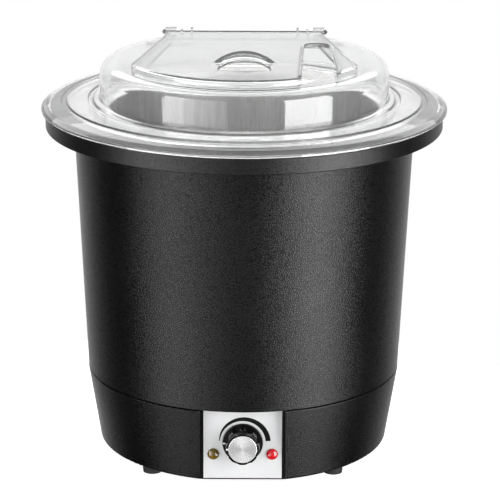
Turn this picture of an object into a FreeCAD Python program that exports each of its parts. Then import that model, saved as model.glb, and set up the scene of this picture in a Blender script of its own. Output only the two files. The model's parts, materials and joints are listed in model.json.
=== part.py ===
import FreeCAD, Part

import math
import operator
import os

import Sketcher
from FreeCAD import Placement, Rotation, Vector

# Soup kettle: a heated housing, a lift-out steel pot and a clear lid with a hinged flap.
# Millimetres. The origin is on the ground at the kettle's vertical axis, +Z is up,
# and the control panel faces -Y.

SIZES = {
    # rubber feet and the screws that hold them
    "foot_height": 9.0,
    "foot_low_radius": 8.2,
    "foot_top_radius": 9.0,
    "foot_place": 80.0,
    "foot_recess_radius": 4.3,
    "screw_radius": 2.0,
    "screw_head_radius": 3.7,
    "screw_head_height": 2.4,
    "screw_recess_height": 3.1,
    # base housing, a tapered moulding with a flat recess for the control panel
    "seam_height": 77.0,
    "base_low_radius": 129.0,
    "base_top_radius": 140.0,
    "plastic_wall": 3.0,
    "base_lip_radius": 98.0,
    "seam_gap": 0.2,
    "recess_half_width": 37.0,
    "recess_face": 122.2,
    "base_edge_round": 2.5,
    "base_seam_round": 1.2,
    # steel base plate
    "plate_radius": 117.5,
    "plate_thickness": 1.2,
    "vent_radius": 3.5,
    "vent_circle": 62.0,
    # body shell
    "shell_low_radius": 139.6,
    "shell_top_radius": 150.0,
    "shell_ledge": 3.0,
    "spigot_radius": 135.1,
    "spigot_depth": 9.0,
    # top collar
    "collar_radius": 175.0,
    "collar_low_height": 297.5,
    "collar_top_height": 312.5,
    "collar_mouth_radius": 121.5,
    "collar_lip_depth": 9.0,
    # heated well and what hangs under it
    "steel_sheet": 0.8,
    "well_radius": 124.0,
    "well_floor_height": 70.8,
    "well_corner": 24.0,
    "well_flange_radius": 141.0,
    "heater_plate_radius": 82.0,
    "heater_plate_thickness": 3.0,
    "heater_ring_radius": 68.0,
    "heater_tube_radius": 3.3,
    "leg_drop": 6.0,
    "leg_hole_radius": 5.5,
    "terminal_radius": 4.2,
    "terminal_length": 4.0,
    "tab_width": 6.2,
    "tab_thickness": 0.8,
    "tab_length": 8.0,
    "cutout_place": 30.0,
    "cutout_disc_radius": 8.5,
    "cutout_disc_height": 3.5,
    "cutout_case_radius": 7.2,
    "cutout_case_height": 7.0,
    "block_width": 40.0,
    "block_front": 78.0,
    "block_depth": 18.0,
    "block_height": 14.0,
    "block_pitch": 13.0,
    "block_hole_height": 6.0,
    "block_hole_radius": 2.2,
    "clamp_well_radius": 2.6,
    "clamp_screw_radius": 2.3,
    "shield_height": 46.0,
    "shield_radius": 100.0,
    "bulb_low_height": 81.3,
    "bulb_length": 56.0,
    "bulb_radius": 2.6,
    "strap_radius": 3.2,
    "rod_circle": 92.0,
    "rod_radius": 2.5,
    "nut_height": 4.0,
    "nut_across_flats": 8.0,
    # insert pot
    "pot_radius": 120.0,
    "pot_floor_height": 80.0,
    "pot_rim_radius": 157.0,
    "pot_rim_height": 312.7,
    "pot_bead": 1.7,
    "pot_corner": 14.8,
    "pot_mouth_round": 2.2,
    # clear lid
    "lid_sheet": 2.6,
    "lid_radius": 178.5,
    "lid_rest_height": 312.8,
    "lid_slope_radius": 160.0,
    "lid_step_radius": 157.2,
    "lid_band_height": 321.2,
    "lid_groove_radius": 135.0,
    "lid_wall_radius": 127.0,
    "lid_crown_height": 355.6,
    "lid_shoulder": 12.0,
    "lid_slope_bend": 38.0,
    "ledge_start": 87.5,
    "ledge_drop": 6.6,
    # opening in the crown, under the flap
    "mouth_front_radius": 98.0,
    "mouth_corner_width": 86.0,
    "mouth_rear_width": 65.0,
    "mouth_rear": 66.0,
    "mouth_corner_round": 16.0,
    "mouth_rear_round": 12.0,
    # hinged flap
    "flap_sheet": 2.4,
    "flap_low_height": 355.9,
    "flap_top_height": 362.1,
    "flap_front_radius": 110.5,
    "flap_corner_width": 99.0,
    "flap_rear_width": 70.0,
    "flap_rear": 84.0,
    "flap_corner_round": 24.0,
    "flap_rear_round": 6.0,
    "flap_edge_round": 2.6,
    "notch_left": 47.5,
    "notch_right": 80.5,
    "notch_far": 30.0,
    "notch_taper": 5.0,
    "notch_corner": 11.0,
    "grip_hole_width": 22.0,
    "grip_hole_front": 71.0,
    "grip_hole_depth": 38.0,
    "hood_half_width": 27.5,
    "hood_rise": 11.0,
    "hood_face": 50.0,
    "hood_tilt": 17.0,
    "hood_bead": 1.7,
    # flap hinge
    "pin_radius": 1.0,
    "pin_length": 150.0,
    "pin_place": 91.0,
    "pin_height": 360.2,
    "pin_clearance": 0.06,
    "post_middle": 67.0,
    "post_width": 10.0,
    "post_radius": 4.2,
    "lug_place": 48.0,
    "lug_width": 2.2,
    "lug_radius": 3.2,
    "lug_tail": 4.2,
    # control panel, knob and lamps
    "panel_half_width": 34.0,
    "panel_low_height": 10.6,
    "panel_top_height": 76.0,
    "panel_thickness": 1.2,
    "dial_height": 43.5,
    "bush_radius": 4.8,
    "shaft_radius": 3.0,
    "shaft_clearance": 0.05,
    "skirt_radius": 17.8,
    "skirt_thickness": 1.8,
    "grip_radius": 15.4,
    "grip_front_radius": 14.4,
    "knob_depth": 16.4,
    "scallop_radius": 7.0,
    "scallop_circle": 20.6,
    "cap_radius": 12.3,
    "cap_thickness": 1.0,
    "knob_gap": 0.6,
    "lamp_place": 25.5,
    "lamp_height": 33.0,
    "lamp_radius": 5.0,
    "lamp_stem_radius": 3.9,
    "holder_radius": 3.6,
    "holder_length": 16.0,
    "clip_width": 2.2,
    "clip_thickness": 1.2,
    "thermostat_radius": 17.0,
    "thermostat_depth": 16.0,
    # cord inlet at the back
    "inlet_height": 30.0,
    "inlet_bore": 3.8,
    "inlet_stem_radius": 7.0,
    "inlet_flange_radius": 9.5,
    "inlet_length": 14.0,
    "inlet_head": 6.0,
    "inlet_nose": 3.0,
    "inlet_bead_drop": 1.2,
}

NEAR = 0.01
AROUND_X = Vector(1, 0, 0)
AROUND_Y = Vector(0, 1, 0)
TURNS = {
    "Z": Rotation(),
    "Y": Rotation(AROUND_X, -90),
    "-Y": Rotation(AROUND_X, 90),
    "X": Rotation(AROUND_Y, 90),
}
CORNERS = [(1, 1), (-1, 1), (-1, -1), (1, -1)]
ROD_ANGLES = (60, 180, 300)
BULB_ANGLE = -60
LEG_ANGLES = (105, 75)
ELEMENT_SWEEP = 330

doc = FreeCAD.newDocument("soup_kettle")


# ---------------------------------------------------------------- sizes and expressions


class Size:
    """A length in millimetres, kept together with the sheet expression that gives it."""

    def __init__(self, value, text):
        self.value = value
        self.text = text

    def __add__(self, other):
        return combine(self, "+", other)

    def __radd__(self, other):
        return combine(other, "+", self)

    def __sub__(self, other):
        return combine(self, "-", other)

    def __rsub__(self, other):
        return combine(other, "-", self)

    def __mul__(self, other):
        return combine(self, "*", other)

    def __rmul__(self, other):
        return combine(other, "*", self)

    def __truediv__(self, other):
        return combine(self, "/", other)

    def __neg__(self):
        return combine(0, "-", self)


OPERATIONS = {"+": operator.add, "-": operator.sub, "*": operator.mul, "/": operator.truediv}


def as_size(number):
    """A Size as it is, or a plain number as a Size with a constant expression."""
    return number if isinstance(number, Size) else Size(float(number), f"({float(number)})")


def combine(left, sign, right):
    """The Size of two lengths joined by an arithmetic sign."""
    left = as_size(left)
    right = as_size(right)
    return Size(OPERATIONS[sign](left.value, right.value), f"({left.text} {sign} {right.text})")


def root(size):
    """The square root of a Size."""
    return Size(math.sqrt(size.value), f"sqrt({size.text})")


def polar(radius, angle):
    """The x and y of a point at a radius and an angle in degrees."""
    turn = math.radians(angle)
    across = Size(radius.value * math.cos(turn), f"({radius.text} * cos({angle} deg))")
    along = Size(radius.value * math.sin(turn), f"({radius.text} * sin({angle} deg))")
    return across, along


class Sheet:
    """The spreadsheet of driving dimensions, read by alias."""

    def __init__(self):
        self.cells = doc.addObject("Spreadsheet::Sheet", "sizes")
        for row, (alias, value) in enumerate(SIZES.items(), start=1):
            self.cells.set(f"A{row}", alias)
            self.cells.set(f"B{row}", str(value))
            self.cells.setAlias(f"B{row}", alias)
        doc.recompute()

    def __getattr__(self, alias):
        return Size(float(self.cells.get(alias)), f"sizes.{alias}")


d = Sheet()


# ---------------------------------------------------------------- building helpers


def bind(thing, name, size):
    """Ties a property to the sheet."""
    thing.setExpression(name, as_size(size).text)


def place(thing, x=0, y=0, z=0, along="Z"):
    """Puts a piece at a point, with its own Z axis turned along a direction."""
    thing.Placement = Placement(Vector(), TURNS[along])
    for axis, size in (("x", x), ("y", y), ("z", z)):
        bind(thing, f"Placement.Base.{axis}", size)
    return thing


def named(thing, label):
    """Gives a finished piece the name of its node."""
    thing.Label = label
    return thing


def cylinder(name, radius, height, x=0, y=0, z=0, along="Z"):
    thing = doc.addObject("Part::Cylinder", name)
    bind(thing, "Radius", radius)
    bind(thing, "Height", height)
    return place(thing, x, y, z, along)


def cone(name, low_radius, top_radius, height, x=0, y=0, z=0, along="Z"):
    thing = doc.addObject("Part::Cone", name)
    bind(thing, "Radius1", low_radius)
    bind(thing, "Radius2", top_radius)
    bind(thing, "Height", height)
    return place(thing, x, y, z, along)


def box(name, x_range, y_range, z_range):
    """A box between two x, two y and two z values."""
    thing = doc.addObject("Part::Box", name)
    for side, (low, high) in zip(("Length", "Width", "Height"), (x_range, y_range, z_range)):
        bind(thing, side, as_size(high) - low)
    return place(thing, x_range[0], y_range[0], z_range[0])


def fuse(name, *pieces):
    thing = doc.addObject("Part::MultiFuse", name)
    thing.Shapes = list(pieces)
    return thing


def common(name, *pieces):
    thing = doc.addObject("Part::MultiCommon", name)
    thing.Shapes = list(pieces)
    return thing


def cut(name, base, *tools):
    """The base with every tool taken out of it."""
    thing = doc.addObject("Part::Cut", name)
    thing.Base = base
    thing.Tool = tools[0] if len(tools) == 1 else fuse(name + "_tools", *tools)
    return thing


def group(name, pieces):
    """Identical pieces that stay separate solids in one node."""
    thing = doc.addObject("Part::Compound", name)
    thing.Links = list(pieces)
    return named(thing, name)


def sketch_on(body, plane, name, height=0):
    """A sketch on one of a body's own origin planes, raised by a height along its normal."""
    sketch = body.newObject("Sketcher::SketchObject", name)
    support = [item for item in body.Origin.OriginFeatures if item.Role == plane][0]
    sketch.AttachmentSupport = (support, "")
    sketch.MapMode = "FlatFace"
    bind(sketch, "AttachmentOffset.Base.z", height)
    return sketch


def middle_of_arc(start, end, radius, side):
    """A point halfway along an arc that bulges to the left (side 1) or the right (side -1)."""
    chord = end - start
    half = chord.Length / 2
    sagitta = radius - math.sqrt(max(radius**2 - half**2, 0))
    left = Vector(-chord.y, chord.x, 0).normalize()
    return (start + end) * 0.5 + left * sagitta * side


def outline(sketch, points):
    """Closes a fully bound outline. A point is (x, y), or (x, y, radius, side) where an arc leads to it."""
    count = len(points)
    spots = [Vector(as_size(p[0]).value, as_size(p[1]).value, 0) for p in points]
    ends = []
    for index, point in enumerate(points):
        start = spots[index - 1]
        end = spots[index]
        if len(point) == 2:
            edge = sketch.addGeometry(Part.LineSegment(start, end), False)
            ends.append((edge, 1, 2))
            continue
        radius = as_size(point[2])
        middle = middle_of_arc(start, end, radius.value, point[3])
        edge = sketch.addGeometry(Part.Arc(start, middle, end), False)
        forward = (sketch.Geometry[edge].StartPoint - start).Length < NEAR
        ends.append((edge, 1, 2) if forward else (edge, 2, 1))
        rule = sketch.addConstraint(Sketcher.Constraint("Radius", edge, radius.value))
        bind(sketch, f"Constraints[{rule}]", radius)
    for index in range(count):
        edge, _, last = ends[index]
        follower, first, _ = ends[(index + 1) % count]
        sketch.addConstraint(Sketcher.Constraint("Coincident", edge, last, follower, first))
        for kind, size in (("DistanceX", points[index][0]), ("DistanceY", points[index][1])):
            size = as_size(size)
            rule = sketch.addConstraint(Sketcher.Constraint(kind, edge, last, size.value))
            bind(sketch, f"Constraints[{rule}]", size)


def circles(sketch, radius, centres):
    """Circles of one radius at the given centres, all bound to the sheet."""
    radius = as_size(radius)
    for x, y in centres:
        x = as_size(x)
        y = as_size(y)
        ring = Part.Circle(Vector(x.value, y.value, 0), Vector(0, 0, 1), radius.value)
        edge = sketch.addGeometry(ring, False)
        for kind, items, size in (
            ("Radius", (edge,), radius),
            ("DistanceX", (edge, 3), x),
            ("DistanceY", (edge, 3), y),
        ):
            rule = sketch.addConstraint(Sketcher.Constraint(kind, *items, size.value))
            bind(sketch, f"Constraints[{rule}]", size)


def new_body(name):
    return doc.addObject("PartDesign::Body", name)


def revolve(body, points, name="turned"):
    """Turns an outline of (radius, height) points about the body's vertical axis."""
    sketch = sketch_on(body, "XZ_Plane", name + "_outline")
    outline(sketch, points)
    turned = body.newObject("PartDesign::Revolution", name)
    turned.Profile = sketch
    turned.ReferenceAxis = (sketch, ["V_Axis"])
    turned.Angle = 360
    doc.recompute()
    return body


def round_edges(body, radius, chosen):
    """Rounds the edges of the body's newest feature that a test picks out."""
    before = body.Tip
    edges = enumerate(before.Shape.Edges, start=1)
    names = [f"Edge{number}" for number, edge in edges if chosen(edge)]
    if not names:
        raise ValueError(f"{body.Name}: no edge to round")
    rounded = body.newObject("PartDesign::Fillet", "rounded")
    rounded.Base = (before, names)
    bind(rounded, "Radius", radius)
    doc.recompute()
    return body


def ring_at(radius, height):
    """A test for the circular edge of one radius at one height."""
    radius = as_size(radius).value
    height = as_size(height).value

    def test(edge):
        curve = edge.Curve
        if not isinstance(curve, Part.Circle):
            return False
        return abs(curve.Radius - radius) < NEAR and abs(curve.Center.z - height) < NEAR

    return test


def upright_at(x, y):
    """A test for a vertical edge at a place, on either side of the middle plane."""
    x = as_size(x).value
    y = as_size(y).value

    def test(edge):
        low, high = edge.Vertexes[0].Point, edge.Vertexes[-1].Point
        upright = abs(low.x - high.x) < NEAR and abs(low.y - high.y) < NEAR
        return upright and abs(abs(low.x) - x) < NEAR and abs(low.y - y) < NEAR

    return test


def turned_body(name, points, rounds=()):
    """A turned piece, with (radius, height, rounding) for each edge that is rounded."""
    body = revolve(new_body(name), points)
    for radius, height, rounding in rounds:
        round_edges(body, rounding, ring_at(radius, height))
    return named(body, name)


def pad(body, points, low, thickness, name="plate"):
    """Raises an outline in plan into a plate."""
    sketch = sketch_on(body, "XY_Plane", name + "_outline", low)
    outline(sketch, points)
    raised = body.newObject("PartDesign::Pad", name)
    raised.Profile = sketch
    bind(raised, "Length", thickness)
    doc.recompute()
    return body


def pocket(body, draw, height, name="opening"):
    """Cuts what draw(sketch) outlines downwards through the body from a height, and checks that it cut."""
    before = body.Tip.Shape.Volume
    sketch = sketch_on(body, "XY_Plane", name + "_outline", height)
    draw(sketch)
    opening = body.newObject("PartDesign::Pocket", name)
    opening.Profile = sketch
    opening.Type = "ThroughAll"
    doc.recompute()
    if opening.Shape.Volume > before - NEAR:
        raise ValueError(f"{body.Name}: {name} cut nothing")
    return body


def hex_prism(name, across_flats, height, x=0, y=0, z=0):
    """A six-sided prism, as a nut's outside."""
    thing = doc.addObject("Part::Prism", name)
    thing.Polygon = 6
    bind(thing, "Circumradius", as_size(across_flats) / math.sqrt(3))
    bind(thing, "Height", height)
    return place(thing, x, y, z)


def pan_screw(name, x, y, z, length):
    """A pan-head screw that points up from the underside of its head."""
    head = cone(name + "_head", d.screw_head_radius * 0.7, d.screw_head_radius, d.screw_head_height, x, y, z)
    shank = cylinder(name + "_shank", d.screw_radius, length, x, y, z + d.screw_head_height)
    slot_low = z - 1
    slot = box(
        name + "_slot",
        (as_size(x) - 0.5, as_size(x) + 0.5),
        (as_size(y) - d.screw_head_radius, as_size(y) + d.screw_head_radius),
        (slot_low, z + d.screw_head_height * 0.4),
    )
    return cut(name, fuse(name + "_blank", head, shank), slot)


def tube(label, points, radius, bend):
    """A round tube along straight runs joined by tangent arcs of one bend radius."""
    spots = [Vector(*(as_size(size).value for size in point)) for point in points]
    edges = []
    start = spots[0]
    for before, corner, after in zip(spots, spots[1:], spots[2:]):
        back = (before - corner).normalize()
        onward = (after - corner).normalize()
        half_turn = (math.pi - back.getAngle(onward)) / 2
        reach = bend * math.tan(half_turn)
        enter = corner + back * reach
        leave = corner + onward * reach
        inward = (back + onward).normalize()
        middle = corner + inward * (bend / math.cos(half_turn) - bend)
        edges.append(Part.LineSegment(start, enter).toShape())
        edges.append(Part.Arc(enter, middle, leave).toShape())
        start = leave
    edges.append(Part.LineSegment(start, spots[-1]).toShape())
    path = Part.Wire(edges)
    ring = Part.Circle(spots[0], spots[1] - spots[0], as_size(radius).value).toShape()
    thing = doc.addObject("Part::Feature", label)
    thing.Shape = path.makePipeShell([Part.Wire(ring)], True, True)
    return named(thing, label)


# ---------------------------------------------------------------- housing


def base_taper(height):
    """The base housing's outer radius at a height."""
    rise = (d.base_top_radius - d.base_low_radius) / (d.seam_height - d.foot_height)
    return d.base_low_radius + rise * (height - d.foot_height)


def foot_spots():
    return [(d.foot_place * sx, d.foot_place * sy) for sx, sy in CORNERS]


def rubber_feet():
    """Four tapered rubber feet, recessed for their screws."""
    feet = []
    for number, (x, y) in enumerate(foot_spots()):
        name = f"foot_{number}"
        blank = cone(name + "_blank", d.foot_low_radius, d.foot_top_radius, d.foot_height, x, y)
        recess = cylinder(name + "_recess", d.foot_recess_radius, 5.5, x, y)
        hole = cylinder(name + "_hole", d.screw_radius, d.foot_height, x, y)
        feet.append(cut(name, blank, recess, hole))
    return group("rubber_feet", feet)


def foot_screws():
    """The screw in each foot, up through the housing's lip into the base plate."""
    top = d.foot_height + d.plastic_wall + d.plate_thickness + 1.5
    length = top - d.screw_recess_height - d.screw_head_height
    screws = []
    for number, (x, y) in enumerate(foot_spots()):
        screws.append(pan_screw(f"foot_screw_{number}", x, y, d.screw_recess_height, length))
    return group("foot_screws", screws)


def screw_holes(name, low, high):
    """The clearance for the foot screws through a layer."""
    return [
        cylinder(f"{name}_{n}", d.screw_radius, high - low, x, y, low)
        for n, (x, y) in enumerate(foot_spots())
    ]


def base_housing():
    """The tapered lower moulding, with an inward lip, a front recess and holes for the controls."""
    low = d.foot_height
    top = d.seam_height - d.seam_gap
    outer = turned_body(
        "base_outer",
        [(0, low), (d.base_low_radius, low), (base_taper(top), top), (0, top)],
        [(d.base_low_radius, low, d.base_edge_round), (base_taper(top), top, d.base_seam_round)],
    )
    inside_low = low + d.plastic_wall
    slant = d.plastic_wall * 1.013
    inner = turned_body(
        "base_inner",
        [
            (0, low - 1),
            (d.base_lip_radius, low - 1),
            (d.base_lip_radius, inside_low),
            (base_taper(inside_low) - slant, inside_low),
            (base_taper(top + 1) - slant, top + 1),
            (0, top + 1),
        ],
    )
    cheek = d.recess_half_width + d.plastic_wall
    behind = d.recess_face - d.plastic_wall
    block = box("recess_block", (-cheek, cheek), (-d.base_top_radius, -behind), (low - 2, top + 2))
    cavity = cut("base_cavity", inner, block)
    width = d.recess_half_width
    recess = box("panel_recess", (-width, width), (-d.base_top_radius, -d.recess_face), (low - 1, top + 2))
    front = -d.recess_face - 1
    through = d.plastic_wall + 2
    bush_hole = cylinder("bush_hole", d.bush_radius, through, 0, front, d.dial_height, "Y")
    lamp_holes = []
    for number, x in enumerate((-d.lamp_place, d.lamp_place)):
        name = f"lamp_hole_{number}"
        lamp_holes.append(cylinder(name, d.lamp_stem_radius, through, x, front, d.lamp_height, "Y"))
    inlet = cylinder("inlet_hole", d.inlet_stem_radius, 20, 0, 120, d.inlet_height, "Y")
    screws = screw_holes("lip_hole", low - 1, inside_low + 1)
    housing = cut("base_housing", outer, cavity, recess, bush_hole, *lamp_holes, inlet, *screws)
    return named(housing, "base_housing")


def vent_spots():
    return [polar(d.vent_circle, angle) for angle in range(0, 360, 30)]


def base_plate():
    """The steel disc that closes the underside, with vents and holes for screws and tie rods."""
    low = d.foot_height + d.plastic_wall
    top = low + d.plate_thickness
    body = revolve(new_body("base_plate"), [(0, low), (d.plate_radius, low), (d.plate_radius, top), (0, top)])
    pocket(body, lambda sketch: circles(sketch, d.vent_radius, vent_spots()), top + 1, "vents")
    pocket(body, lambda sketch: circles(sketch, d.screw_radius, foot_spots()), top + 1, "screw_holes")
    pocket(body, lambda sketch: circles(sketch, d.rod_radius, rod_spots()), top + 1, "rod_holes")
    return named(body, "base_plate")


def body_shell():
    """The tall tapered shell, with a ledge on the base housing and a spigot inside it."""
    seam = d.seam_height
    top = d.collar_top_height - d.plastic_wall - d.seam_gap
    ledge = seam + d.shell_ledge
    wall = d.plastic_wall
    inner_spigot = d.spigot_radius - wall
    shell = turned_body(
        "shell_blank",
        [
            (inner_spigot, seam - d.spigot_depth),
            (d.spigot_radius, seam - d.spigot_depth),
            (d.spigot_radius, seam),
            (d.shell_low_radius, seam),
            (d.shell_top_radius, d.collar_low_height),
            (d.shell_top_radius, top),
            (d.shell_top_radius - wall, top),
            (d.shell_top_radius - wall, d.collar_low_height),
            (d.shell_low_radius - wall, ledge),
            (inner_spigot, ledge),
        ],
        [(d.shell_low_radius, seam, 0.8)],
    )
    gap = d.recess_half_width + d.plastic_wall + 2
    clear = box("spigot_gap", (-gap, gap), (-150, -110), (seam - d.spigot_depth - 1, seam))
    return named(cut("body_shell", shell, clear), "body_shell")


def top_collar():
    """The overhanging collar: a skirt, a flat top and a lip into the well's mouth."""
    wall = d.plastic_wall
    low = d.collar_low_height
    top = d.collar_top_height
    under = top - wall
    lip = d.collar_mouth_radius
    inner = lip + 1.8
    body = turned_body(
        "top_collar",
        [
            (lip, top - d.collar_lip_depth),
            (inner, top - d.collar_lip_depth),
            (inner, under),
            (d.collar_radius - wall, under),
            (d.collar_radius - wall, low),
            (d.collar_radius, low),
            (d.collar_radius, top),
            (lip, top),
        ],
        [(d.collar_radius, top, 1.6), (d.collar_radius, low, 0.7), (lip, top, 1.2)],
    )
    return body


def water_well():
    """The drawn steel well that holds the heating water, with a flange under the collar."""
    sheet = d.steel_sheet
    floor = d.well_floor_height
    flange = d.collar_top_height - d.plastic_wall - 0.2
    outer = d.well_radius + sheet
    return turned_body(
        "water_well",
        [
            (0, floor),
            (outer, floor),
            (outer, flange - sheet),
            (d.well_flange_radius, flange - sheet),
            (d.well_flange_radius, flange),
            (d.well_radius, flange),
            (d.well_radius, floor + sheet),
            (0, floor + sheet),
        ],
        [(outer, floor, d.well_corner), (d.well_radius, floor + sheet, d.well_corner - sheet)],
    )


def bulb_spot():
    """Where the sensing bulb stands, outside the well's wall."""
    return polar(d.well_radius + d.steel_sheet + d.strap_radius + 0.1, BULB_ANGLE)


def insulation_wrap():
    """A glass-fibre wrap between the well and the shell, with a channel for the sensing bulb."""
    inner = d.well_radius + d.steel_sheet + 0.6
    low = d.seam_height + d.shell_ledge + 3
    top = d.collar_top_height - 24
    outer = d.shell_low_radius - d.plastic_wall - 1.4
    ring = turned_body("wrap_ring", [(inner, low), (outer, low), (outer, top), (inner, top)])
    x, y = bulb_spot()
    channel = cylinder("bulb_channel", 4.2, d.bulb_length + 8, x, y, low - 2)
    return named(cut("insulation_wrap", ring, channel), "insulation_wrap")


def rod_spots():
    return [polar(d.rod_circle, angle) for angle in ROD_ANGLES]


def tie_rods():
    """Three studs under the well that pull the base plate up against the housing."""
    low = d.foot_height - 1.5
    return group(
        "tie_rods",
        [
            cylinder(f"tie_rod_{n}", d.rod_radius, d.well_floor_height - low, x, y, low)
            for n, (x, y) in enumerate(rod_spots())
        ],
    )


def rod_nuts(label, low):
    """A hexagon nut on each tie rod."""
    nuts = []
    for number, (x, y) in enumerate(rod_spots()):
        name = f"{label}_{number}"
        blank = hex_prism(name + "_blank", d.nut_across_flats, d.nut_height, x, y, low)
        bore = cylinder(name + "_bore", d.rod_radius, d.nut_height, x, y, low)
        nuts.append(cut(name, blank, bore))
    return group(label, nuts)


def heater_plate():
    """The aluminium plate that spreads the heat over the well's floor."""
    top = d.well_floor_height
    low = top - d.heater_plate_thickness
    radius = d.heater_plate_radius
    return turned_body("heater_plate", [(0, low), (radius, low), (radius, top), (0, top)])


def heater_ring_height():
    return d.well_floor_height - d.heater_plate_thickness - d.heater_tube_radius


def heating_element():
    """The tubular ring under the plate, open at the back, with its two ends turned down."""
    ring = doc.addObject("Part::Torus", "heater_ring")
    bind(ring, "Radius1", d.heater_ring_radius)
    bind(ring, "Radius2", d.heater_tube_radius)
    ring.Angle3 = ELEMENT_SWEEP
    ring.Placement = Placement(Vector(), Rotation(Vector(0, 0, 1), LEG_ANGLES[0]))
    bind(ring, "Placement.Base.z", heater_ring_height())
    legs = []
    for number, angle in enumerate(LEG_ANGLES):
        x, y = polar(d.heater_ring_radius, angle)
        low = d.shield_height - d.leg_drop
        high = heater_ring_height()
        legs.append(cylinder(f"heater_leg_{number}", d.heater_tube_radius, high - low, x, y, low))
        knee = doc.addObject("Part::Sphere", f"heater_knee_{number}")
        bind(knee, "Radius", d.heater_tube_radius)
        legs.append(place(knee, x, y, high))
    return named(fuse("heating_element", ring, *legs), "heating_element")


def heater_terminals():
    """A ceramic bush and a tab at each end of the element."""
    ends = []
    for number, angle in enumerate(LEG_ANGLES):
        x, y = polar(d.heater_ring_radius, angle)
        low = d.shield_height - d.leg_drop - d.terminal_length
        wide = d.tab_width / 2
        thick = d.tab_thickness / 2
        bush = cylinder(f"terminal_bush_{number}", d.terminal_radius, d.terminal_length, x, y, low)
        height = (low - d.tab_length, low)
        tab = box(f"terminal_tab_{number}", (x - wide, x + wide), (y - thick, y + thick), height)
        ends.append(fuse(f"terminal_{number}", bush, tab))
    return group("heater_terminals", ends)


def heat_shield():
    """A thin steel disc between the element and the wiring, carried on the tie rods."""
    low = d.shield_height
    top = low + d.steel_sheet
    legs = [polar(d.heater_ring_radius, angle) for angle in LEG_ANGLES]
    edge = d.shield_radius
    body = revolve(new_body("heat_shield"), [(0, low), (edge, low), (edge, top), (0, top)])
    pocket(body, lambda sketch: circles(sketch, d.rod_radius, rod_spots()), top + 1, "rod_holes")
    pocket(body, lambda sketch: circles(sketch, d.leg_hole_radius, legs), top + 1, "leg_holes")
    return named(body, "heat_shield")


def thermal_cutout():
    """The disc thermostat that cuts the heater off when the well boils dry."""
    top = d.well_floor_height - d.heater_plate_thickness
    y = d.cutout_place
    disc_low = top - d.cutout_disc_height
    case_low = disc_low - d.cutout_case_height
    disc = cylinder("cutout_disc", d.cutout_disc_radius, d.cutout_disc_height, 0, y, disc_low)
    case = cylinder("cutout_case", d.cutout_case_radius, d.cutout_case_height, 0, y, case_low)
    wide = d.tab_width / 2
    thick = d.tab_thickness / 2
    tabs = []
    for number, x in enumerate((-4, 4)):
        height = (case_low - d.tab_length, case_low)
        tabs.append(box(f"cutout_tab_{number}", (x - thick, x + thick), (y - wide, y + wide), height))
    return named(fuse("thermal_cutout", disc, case, *tabs), "thermal_cutout")


def block_low():
    """The height of the base plate's top, which the terminal block stands on."""
    return d.foot_height + d.plastic_wall + d.plate_thickness


def clamp_spots():
    """The plan positions of the block's three clamps."""
    y = d.block_front + d.block_depth / 2
    return [(d.block_pitch * step, y) for step in (-1, 0, 1)]


def terminal_block():
    """The mains terminal block on the base plate, with its three clamps as through holes."""
    low = block_low()
    wide = d.block_width / 2
    back = d.block_front + d.block_depth
    block = box("block_body", (-wide, wide), (d.block_front, back), (low, low + d.block_height))
    hole_height = low + d.block_hole_height
    clamp_height = hole_height + 3
    holes = []
    for number, (x, y) in enumerate(clamp_spots()):
        start = d.block_front - 1
        name = f"block_hole_{number}"
        holes.append(cylinder(name, d.block_hole_radius, d.block_depth + 2, x, start, hole_height, "Y"))
        holes.append(cylinder(f"block_well_{number}", d.clamp_well_radius, 6, x, y, clamp_height))
    return named(cut("terminal_block", block, *holes), "terminal_block")


def terminal_screws():
    """The clamp screws in the terminal block."""
    low = block_low() + d.block_hole_height + 3
    screws = []
    for number, (x, y) in enumerate(clamp_spots()):
        screws.append(cylinder(f"clamp_screw_{number}", d.clamp_screw_radius, 4, x, y, low))
    return group("terminal_screws", screws)


def cord_grommet():
    """The rubber inlet grommet at the back; its bore takes the mains cord."""
    out = base_taper(d.inlet_height) + d.inlet_nose
    start = out - d.inlet_length
    wide = d.inlet_flange_radius
    flange = cylinder("inlet_flange", wide, d.inlet_head, 0, out - d.inlet_head, d.inlet_height, "Y")
    bead = cylinder("inlet_bead", wide - d.inlet_bead_drop, d.inlet_nose, 0, start, d.inlet_height, "Y")
    stem = cylinder("inlet_stem", d.inlet_stem_radius, d.inlet_length, 0, start, d.inlet_height, "Y")
    nose = cone("inlet_nose", wide, d.inlet_stem_radius, d.inlet_nose, 0, out, d.inlet_height, "Y")
    outside = cone(
        "inlet_wall", d.base_low_radius, d.base_top_radius, d.seam_height - d.foot_height, 0, 0, d.foot_height
    )
    head = cut("inlet_head", fuse("inlet_head_blank", flange, nose), outside)
    bore = cylinder("inlet_bore_hole", d.inlet_bore, 30, 0, start - 5, d.inlet_height, "Y")
    return named(cut("cord_grommet", fuse("inlet_blank", head, bead, stem), bore), "cord_grommet")


# ---------------------------------------------------------------- controls


def control_panel():
    """The thin metal plate in the recess, with holes for the bush and the lamps."""
    wide = d.panel_half_width
    body = new_body("control_panel")
    half = (d.panel_top_height - d.panel_low_height) / 2
    middle = d.panel_low_height + half
    corners = [(-wide, -half), (wide, -half), (wide, half), (-wide, half)]
    pad(body, corners, 0, d.panel_thickness)
    dial = d.dial_height - middle
    lamp = d.lamp_height - middle
    lamps = [(-d.lamp_place, lamp), (d.lamp_place, lamp)]
    pocket(body, lambda sketch: circles(sketch, d.bush_radius, [(0, dial)]), d.panel_thickness + 1, "bush")
    pocket(body, lambda sketch: circles(sketch, d.lamp_stem_radius, lamps), d.panel_thickness + 1, "lamps")
    place(body, 0, -d.recess_face, middle, "-Y")
    return named(body, "control_panel")


def panel_front():
    """How far the panel's outer face stands from the axis."""
    return d.recess_face + d.panel_thickness


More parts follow.
